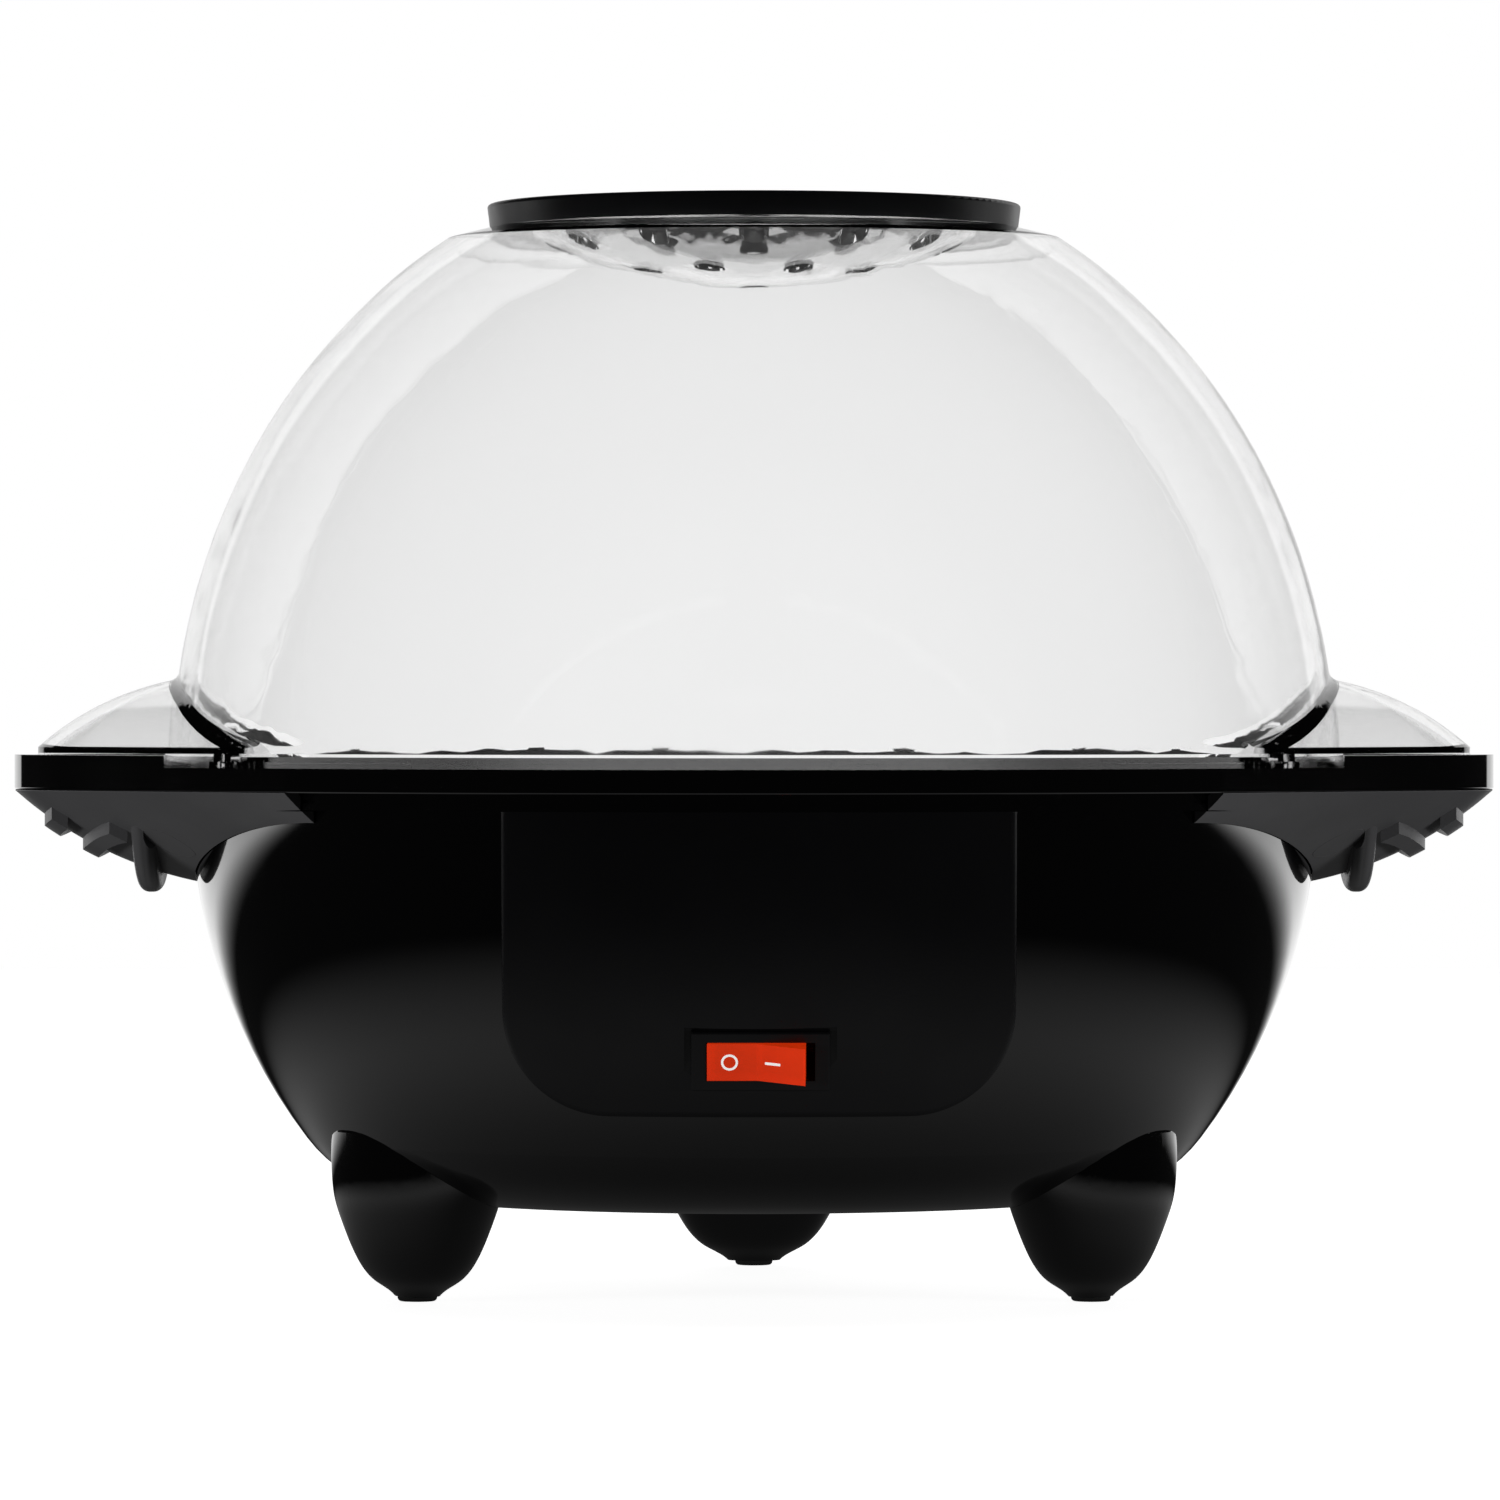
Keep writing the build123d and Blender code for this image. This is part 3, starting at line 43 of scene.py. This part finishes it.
# ---------------------------------------------------------------- node helpers
class Finish:
    """One procedural material: a Principled shader with grain, wear and bump built up by calls."""

    def __init__(self, name, colour, roughness, **sockets):
        self.material = bpy.data.materials.new(name)
        self.material.use_nodes = True
        self.nodes = self.material.node_tree.nodes
        self.links = self.material.node_tree.links
        self.shader = self.nodes["Principled BSDF"]
        self.shader.inputs["Base Color"].default_value = (*colour, 1.0)
        self.shader.inputs["Roughness"].default_value = roughness
        for socket, value in sockets.items():
            self.shader.inputs[socket.replace("_", " ")].default_value = value
        self.place = self.nodes.new("ShaderNodeTexCoord").outputs["Object"]
        self.normal = None

    def stretched(self, scale):
        """Object coordinates stretched along the axes."""
        mapping = self.nodes.new("ShaderNodeMapping")
        mapping.inputs["Scale"].default_value = scale
        self.links.new(self.place, mapping.inputs["Vector"])
        return mapping.outputs["Vector"]

    def noise(self, scale, detail=2.0, place=None):
        """Noise of a size in cycles per metre."""
        node = self.nodes.new("ShaderNodeTexNoise")
        node.inputs["Scale"].default_value = scale
        node.inputs["Detail"].default_value = detail
        self.links.new(place or self.place, node.inputs["Vector"])
        return node.outputs["Fac"]

    def cells(self, scale):
        """Cell pattern of a size in cycles per metre."""
        node = self.nodes.new("ShaderNodeTexVoronoi")
        node.inputs["Scale"].default_value = scale
        self.links.new(self.place, node.inputs["Vector"])
        return node.outputs["Distance"]

    def spread(self, value, low, high, from_low=0.35, from_high=0.65):
        """Value moved from one range to another."""
        node = self.nodes.new("ShaderNodeMapRange")
        node.inputs["From Min"].default_value = from_low
        node.inputs["From Max"].default_value = from_high
        node.inputs["To Min"].default_value = low
        node.inputs["To Max"].default_value = high
        self.links.new(value, node.inputs["Value"])
        return node.outputs["Result"]

    def bump(self, height, strength, distance):
        """One more layer of bump, on top of those before it."""
        node = self.nodes.new("ShaderNodeBump")
        node.inputs["Strength"].default_value = strength
        node.inputs["Distance"].default_value = distance
        self.links.new(height, node.inputs["Height"])
        if self.normal:
            self.links.new(self.normal, node.inputs["Normal"])
        self.normal = node.outputs["Normal"]
        self.links.new(self.normal, self.shader.inputs["Normal"])

    def rough(self, value):
        self.links.new(value, self.shader.inputs["Roughness"])

    def tint(self, factor, first, second):
        """Base colour mixed from two by a factor."""
        node = self.nodes.new("ShaderNodeMix")
        node.data_type = "RGBA"
        node.inputs["A"].default_value = (*first, 1.0)
        node.inputs["B"].default_value = (*second, 1.0)
        self.links.new(factor, node.inputs["Factor"])
        self.links.new(node.outputs["Result"], self.shader.inputs["Base Color"])


def moulded(name, colour, roughness, spread, grain, depth, **sockets):
    """Moulded plastic: fine tool texture, faint colour drift and uneven sheen."""
    finish = Finish(name, colour, roughness, **sockets)
    finish.rough(finish.spread(finish.noise(45, 4), roughness - spread, roughness + spread))
    finish.bump(finish.noise(grain, 3), depth, 0.0002)
    lighter = [channel * 1.3 for channel in colour]
    finish.tint(finish.spread(finish.noise(18, 5), 0, 1), colour, lighter)
    return finish


def metal(name, colour, roughness, streak):
    """Metal with fine streaks along one way and cloudy handling marks."""
    finish = Finish(name, colour, roughness, Metallic=1.0)
    lines = finish.noise(160, 3, finish.stretched(streak))
    finish.rough(finish.spread(finish.noise(40, 4), roughness - 0.07, roughness + 0.1))
    finish.bump(lines, 0.12, 0.0001)
    finish.tint(finish.spread(lines, 0, 1), colour, [channel * 0.82 for channel in colour])
    return finish


# ---------------------------------------------------------------- materials
def clear_plastic():
    finish = Finish(
        "clear_plastic", (0.977, 0.977, 0.977), 0.02, IOR=1.5, Transmission_Weight=1.0, Specular_IOR_Level=0.5
    )
    finish.rough(finish.spread(finish.noise(30, 4), 0.012, 0.035))
    finish.bump(finish.noise(14, 2), 0.05, 0.0005)
    return finish


def gloss_black():
    finish = moulded(
        "gloss_black", (0.0009, 0.0009, 0.001), 0.07, 0.02, 500, 0.01, Coat_Weight=1.0, Coat_IOR=1.75
    )
    finish.bump(finish.noise(26, 2), 0.04, 0.0004)
    return finish


def nonstick():
    finish = Finish("nonstick", (0.018, 0.018, 0.019), 0.42)
    flecks = finish.cells(900)
    finish.tint(finish.spread(flecks, 1, 0, 0.06, 0.16), (0.018, 0.018, 0.019), (0.16, 0.16, 0.165))
    finish.rough(finish.spread(finish.noise(30, 5), 0.32, 0.5))
    finish.bump(finish.noise(700, 3), 0.12, 0.0002)
    return finish


def rocker_red():
    # Painted glow: the red emission brightens the rocker as if lit from within, though its neon lamp is off.
    finish = Finish(
        "rocker_red", (0.85, 0.035, 0.003), 0.16, IOR=1.49, Transmission_Weight=0.25,
        Emission_Color=(1.0, 0.075, 0.006, 1.0), Emission_Strength=0.25,
    )
    finish.tint(finish.spread(finish.noise(70, 3), 0, 1), (0.86, 0.035, 0.003), (0.62, 0.014, 0.001))
    finish.rough(finish.spread(finish.noise(160, 3), 0.1, 0.22))
    finish.bump(finish.noise(500, 2), 0.03, 0.0002)
    return finish


def copper_coil():
    finish = Finish("coil", (0.5, 0.22, 0.08), 0.35, Metallic=0.7)
    turns = finish.noise(900, 1, finish.stretched((0.05, 0.05, 1.0)))
    finish.tint(finish.spread(turns, 0, 1), (0.55, 0.25, 0.09), (0.22, 0.08, 0.03))
    finish.bump(turns, 0.5, 0.0004)
    return finish


finishes = {
    "clear_plastic": clear_plastic(),
    "gloss_black": gloss_black(),
    "satin_black": moulded("satin_black", (0.0045, 0.0045, 0.005), 0.36, 0.05, 1300, 0.10),
    "grip_grey": moulded("grip_grey", (0.085, 0.085, 0.088), 0.40, 0.05, 1200, 0.10),
    "rocker_red": rocker_red(),
    "steel": metal("steel", (0.56, 0.56, 0.57), 0.28, (0.1, 1.0, 1.0)),
    "brass": metal("brass", (0.72, 0.52, 0.24), 0.27, (1.0, 1.0, 0.1)),
    "lamp_glass": moulded("lamp_glass", (0.85, 0.55, 0.35), 0.12, 0.04, 300, 0.02, Transmission_Weight=0.7),
    "rubber_black": moulded("rubber_black", (0.014, 0.014, 0.014), 0.68, 0.08, 900, 0.2),
    "silicone": moulded("silicone", (0.06, 0.06, 0.062), 0.55, 0.08, 800, 0.1),
    "nonstick": nonstick(),
    "aluminium": metal("aluminium", (0.66, 0.66, 0.67), 0.36, (1.0, 0.1, 1.0)),
    "ceramic": moulded("ceramic", (0.62, 0.58, 0.5), 0.6, 0.08, 900, 0.15),
    "coil": copper_coil(),
    "nylon": moulded("nylon", (0.75, 0.73, 0.67), 0.45, 0.06, 700, 0.08, Subsurface_Weight=0.1),
}
slot_of = {row["node"]: row["material_slot"] for row in frame["record"]["subparts"]}
for name, node in nodes.items():
    node.data.materials.clear()
    node.data.materials.append(finishes[slot_of[name]].material)


def placed(name, data):
    """A new object in the scene."""
    thing = bpy.data.objects.new(name, data)
    bpy.context.scene.collection.objects.link(thing)
    return thing


# ---------------------------------------------------------------- rocker marks
def circle_outline(radius):
    """Closed round outline."""
    turns = [2 * math.pi * step / 48 for step in range(48)]
    return [(radius * math.cos(turn), radius * math.sin(turn)) for turn in turns]


def bar_outline(half_length, half_width, corner):
    """Closed outline of a bar with rounded corners."""
    points = []
    for quarter, (side_u, side_v) in enumerate(((1, 1), (-1, 1), (-1, -1), (1, -1))):
        for step in range(5):
            turn = math.pi / 2 * (quarter + step / 4)
            points.append((
                side_u * (half_length - corner) + corner * math.cos(turn),
                side_v * (half_width - corner) + corner * math.sin(turn),
            ))
    return points


def raised_print(name, place, along, up, out, outlines):
    """Thin print on the rocker. The first outline is its outer edge, and a second one is a hole with as many
    points."""
    thickness = 0.00006
    form = bmesh.new()
    rings = []
    for level in (0.0, thickness):
        for outline in outlines:
            rings.append([form.verts.new(place + along * u + up * v + out * level) for u, v in outline])
    count = len(rings[0])
    walls = [(0, 1)] if len(rings) == 2 else [(0, 2), (3, 1), (2, 3), (1, 0)]
    for first, second in walls:
        for step in range(count):
            after = (step + 1) % count
            corners = (rings[first][step], rings[first][after], rings[second][after], rings[second][step])
            form.faces.new(corners)
    if len(rings) == 2:
        form.faces.new(reversed(rings[0]))
        form.faces.new(rings[1])
    bmesh.ops.recalc_face_normals(form, faces=form.faces)
    mesh = bpy.data.meshes.new(name)
    form.to_mesh(mesh)
    form.free()
    mesh.materials.append(print_white.material)
    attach(placed(name, mesh), "rocker")


def rocker_marks():
    """A generic ring for off where the rocker is in, and a bar for on where it is out."""
    joint = joints["rocker_tilt"]
    pivot, up = Vector(joint["pos_m"]), Vector(joint["axis"]).normalized()
    across = Vector((1.0, 0.0, 0.0))
    outward = across.cross(up)
    lean = math.radians(9.0)        # the rocker's at rest, and the slope of each half of its face
    crown = 0.0046                  # from the pivot out to the middle of the face
    lift = 0.00001                  # of the print's underside off the face
    middle = pivot + (outward * math.cos(lean) - across * math.sin(lean)) * crown
    ring = [circle_outline(0.0019), circle_outline(0.00138)]
    bar = [bar_outline(0.0018, 0.0003, 0.00012)]
    marks = (("mark_off", -0.0062, 0.0, ring), ("mark_on", 0.0036, 2 * lean, bar))
    for name, reach, angle, outlines in marks:
        along = across * math.cos(angle) + outward * math.sin(angle)
        out = outward * math.cos(angle) - across * math.sin(angle)
        raised_print(name, middle + along * reach + out * lift, along, up, out, outlines)


# Painted glow: the white emission brightens the print, which gives no light of its own.
print_white = moulded(
    "print_white", (0.9, 0.9, 0.88), 0.45, 0.06, 900, 0.05, Emission_Color=WHITE, Emission_Strength=0.45
)
rocker_marks()


# ---------------------------------------------------------------- stage, light and camera
def smooth_ramp(tree, value, from_low, from_high, low, high):
    """A node-tree value eased from one range to another."""
    node = tree.nodes.new("ShaderNodeMapRange")
    node.interpolation_type = "SMOOTHSTEP"
    node.inputs["From Min"].default_value = from_low
    node.inputs["From Max"].default_value = from_high
    node.inputs["To Min"].default_value = low
    node.inputs["To Max"].default_value = high
    tree.links.new(value, node.inputs["Value"])
    return node.outputs["Result"]


def combined(tree, operation, *values):
    """Node-tree values put through one step of arithmetic."""
    node = tree.nodes.new("ShaderNodeMath")
    node.operation = operation
    for value, socket in zip(values, node.inputs):
        tree.links.new(value, socket)
    return node.outputs["Value"]


def chosen(tree, factor, first, second):
    """Shader first where the factor is 0, and second where it is 1."""
    node = tree.nodes.new("ShaderNodeMixShader")
    for value, socket in zip((factor, first, second), node.inputs):
        tree.links.new(value, socket)
    return node.outputs["Shader"]


def seen_directly(tree):
    """1 for what the eye sees, straight or through clear plastic, and 0 for what lights or mirrors."""
    path = tree.nodes.new("ShaderNodeLightPath")
    return combined(tree, "MAXIMUM", path.outputs["Is Camera Ray"], path.outputs["Is Transmission Ray"])


def depth_of(tree, coordinates):
    """Distance towards the back, from a texture coordinate node's output."""
    place = tree.nodes.new("ShaderNodeTexCoord")
    split = tree.nodes.new("ShaderNodeSeparateXYZ")
    tree.links.new(place.outputs[coordinates], split.inputs["Vector"])
    return split.outputs["Y"]


def pale_floor():
    """Pale floor, lit to white where it is seen. Its light on the object fades towards the dark front."""
    half_width, front, back = 4.0, -0.8, 2.6
    mesh = bpy.data.meshes.new("floor")
    corners = [(-half_width, front, 0), (half_width, front, 0), (half_width, back, 0), (-half_width, back, 0)]
    mesh.from_pydata(corners, [], [(0, 1, 2, 3)])
    finish = Finish("floor", (0.8, 0.8, 0.8), 0.75, Specular_IOR_Level=0.1)
    finish.rough(finish.spread(finish.noise(12, 4), 0.68, 0.82))
    finish.shader.inputs["Emission Color"].default_value = WHITE
    finish.shader.inputs["Emission Strength"].default_value = 0.93
    tree = finish.material.node_tree
    distance = tree.nodes.new("ShaderNodeVectorMath")
    distance.operation = "LENGTH"
    tree.links.new(finish.place, distance.inputs[0])
    # Painted shadow under the object, a painted pool of light in a ring round it, dark further out, but
    # bright far behind.
    painted_shadow_under = smooth_ramp(tree, distance.outputs["Value"], 0.09, 0.19, 0.2, 1.0)
    painted_pool_outer_fade = smooth_ramp(tree, distance.outputs["Value"], 0.16, 0.32, 0.15, 0.006)
    behind = smooth_ramp(tree, depth_of(tree, "Object"), 0.3, 0.8, 0.0, 1.0)
    unseen = tree.nodes.new("ShaderNodeEmission")
    strength = combined(tree, "MAXIMUM", combined(tree, "MULTIPLY", painted_shadow_under, painted_pool_outer_fade), behind)
    tree.links.new(strength, unseen.inputs["Strength"])
    surface = chosen(tree, seen_directly(tree), unseen.outputs["Emission"], finish.shader.outputs["BSDF"])
    tree.links.new(surface, tree.nodes["Material Output"].inputs["Surface"])
    mesh.materials.append(finish.material)
    return placed("floor", mesh)


def studio():
    """White all round for what is seen directly, and greyer at the sides for what is seen through clear
    plastic. The object is lit by, and mirrors, a dark room with a bright white wall behind it."""
    world = bpy.data.worlds.new("studio")
    world.use_nodes = True
    bpy.context.scene.world = world
    tree = world.node_tree
    tree.nodes.clear()
    output = tree.nodes.new("ShaderNodeOutputWorld")
    room = tree.nodes.new("ShaderNodeBackground")
    backdrop = tree.nodes.new("ShaderNodeBackground")
    white = tree.nodes.new("ShaderNodeBackground")
    for node in (room, backdrop, white):
        node.inputs["Color"].default_value = WHITE
    depth = depth_of(tree, "Generated")
    tree.links.new(smooth_ramp(tree, depth, 0.80, 0.835, 0.006, 0.85), room.inputs["Strength"])
    ends = smooth_ramp(tree, combined(tree, "ABSOLUTE", depth), 0.45, 0.88, 0.5, 1.0)
    tree.links.new(ends, backdrop.inputs["Strength"])
    path = tree.nodes.new("ShaderNodeLightPath")
    bent = chosen(tree, seen_directly(tree), room.outputs["Background"], backdrop.outputs["Background"])
    straight = chosen(tree, path.outputs["Is Camera Ray"], bent, white.outputs["Background"])
    tree.links.new(straight, output.inputs["Surface"])


def softbox(name, place, aim, size, power):
    """Rectangular light that points from a place to an aim. Its own shape isn't mirrored in the gloss."""
    data = bpy.data.lights.new(name, "AREA")
    data.shape = "RECTANGLE"
    data.size, data.size_y = size
    data.energy = power
    light = placed(name, data)
    light.location = place
    light.rotation_euler = (Vector(aim) - Vector(place)).to_track_quat("-Z", "Y").to_euler()
    light.visible_glossy = False
    light.visible_transmission = False


pale_floor()
studio()
softbox("top_box", (0, 0.3, 1.6), (0, 0, 0), (1.6, 1.2), 10)
softbox("left_box", (-1.1, -0.5, 0.08), (-0.1, 0, 0.11), (0.5, 0.14), 6)
softbox("right_box", (1.1, -0.5, 0.08), (0.1, 0, 0.11), (0.5, 0.14), 6)

# The photograph's lens and place: 2.108 m in front, a little above the rim, almost level.
camera_data = bpy.data.cameras.new("camera")
camera_data.sensor_width = 36.0
camera_data.lens = 213.6
camera = placed("camera", camera_data)
camera.location = (-0.00095, -2.108, 0.137)
camera.rotation_euler = (math.radians(90 - 0.2575), 0, 0)
bpy.context.scene.camera = camera
bpy.context.scene.view_settings.view_transform = "Standard"
